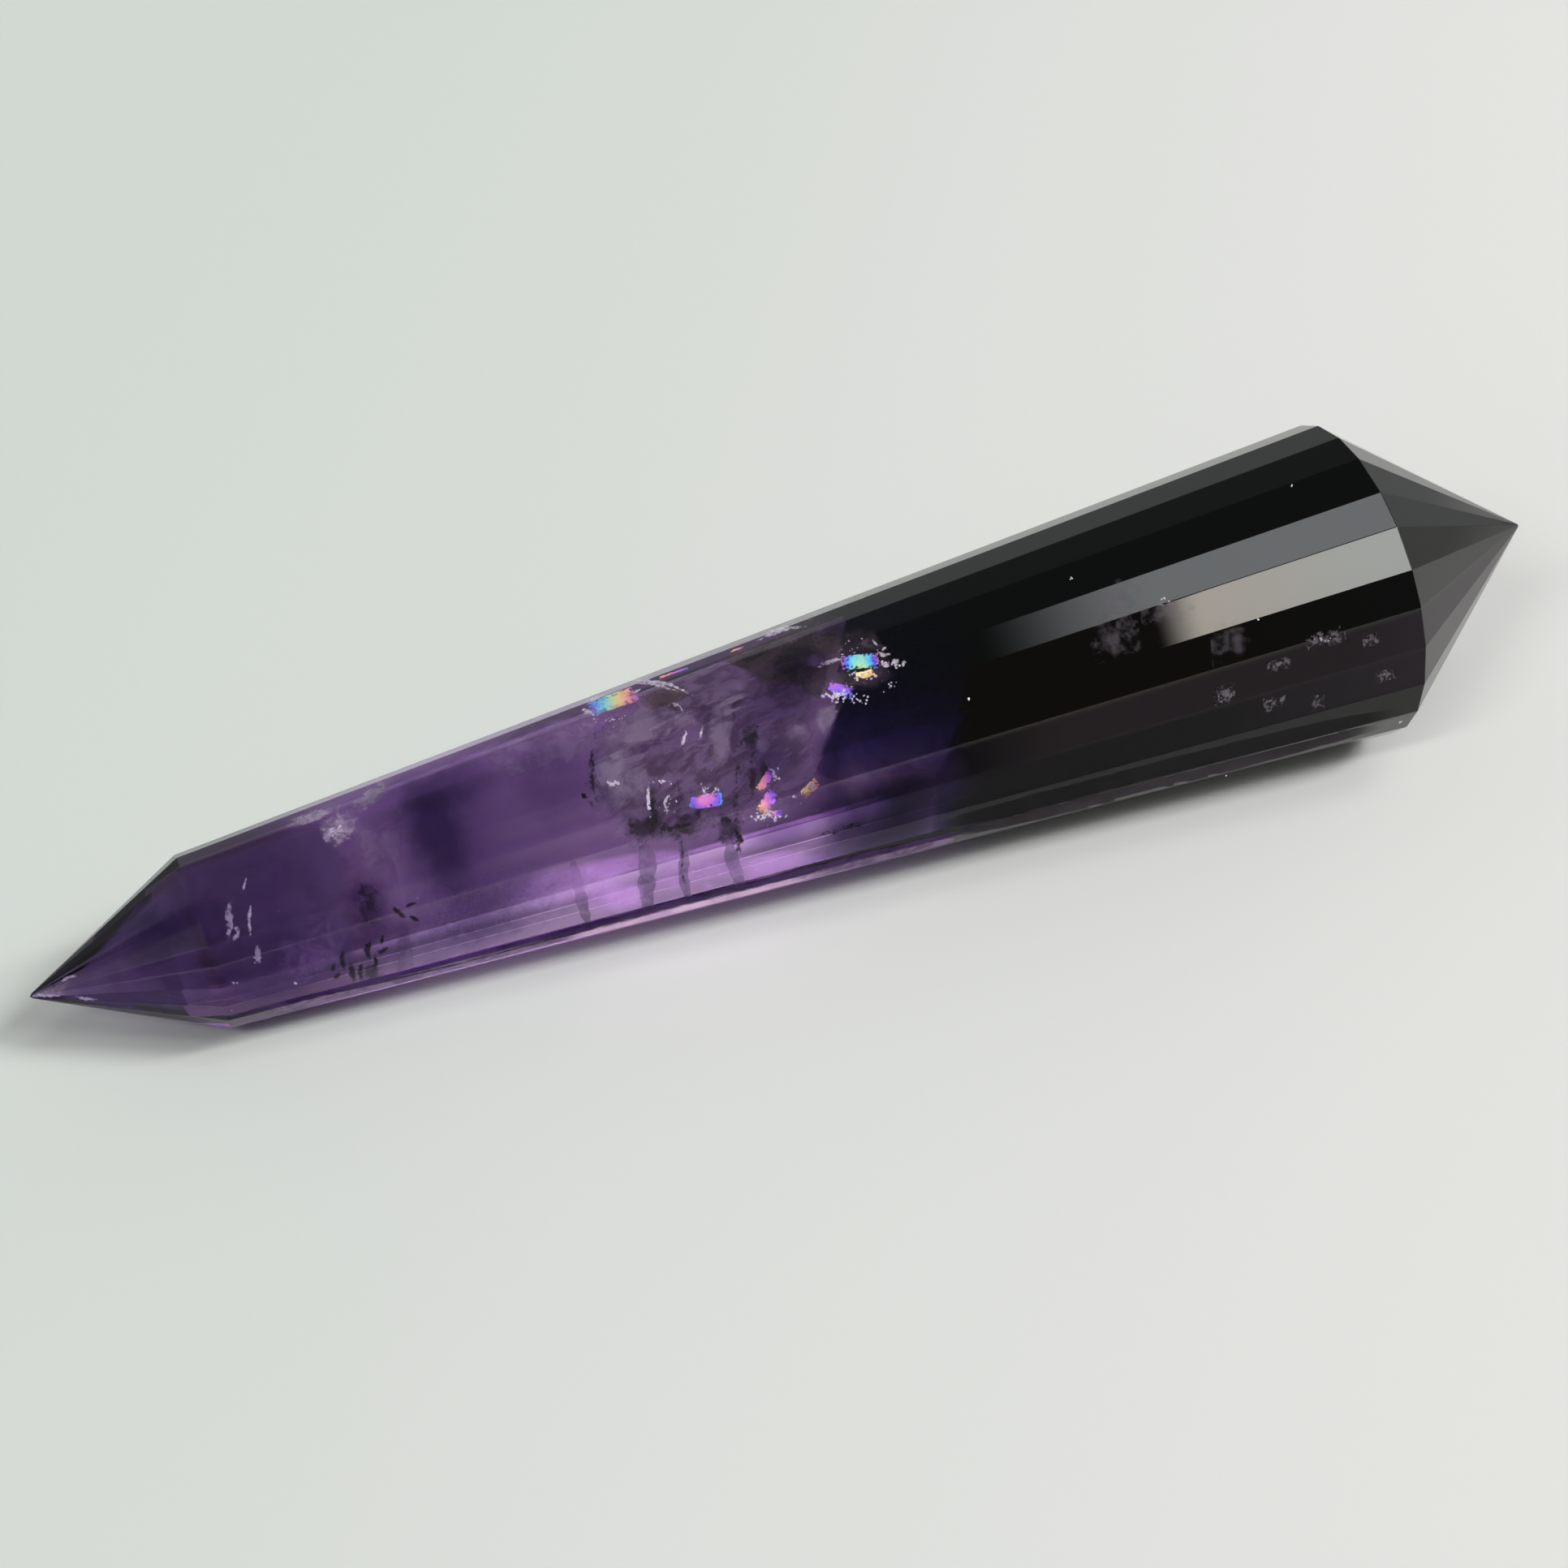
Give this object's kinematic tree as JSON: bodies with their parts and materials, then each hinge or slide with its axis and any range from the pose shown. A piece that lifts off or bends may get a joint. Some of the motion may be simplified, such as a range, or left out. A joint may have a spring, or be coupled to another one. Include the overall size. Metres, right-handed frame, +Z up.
{
  "type": "polished amethyst crystal wand",
  "caption": "Polished amethyst crystal wand: a long tapered body of flat facets with a pyramid point at each end, lying on one facet.",
  "frame": {"origin": "under the middle of the bounding box, on the plane of the facet that it rests on", "axes": "+X along the wand towards its wide end, +Z up from the resting facet"},
  "size_m": [0.1094, 0.0226, 0.0226],
  "materials": {
    "amethyst": "clear to dark purple quartz, ground in flat facets and polished to a glassy gloss"
  },
  "bodies": {
    "root": {"crystal": "amethyst"}
  },
  "joints": []
}
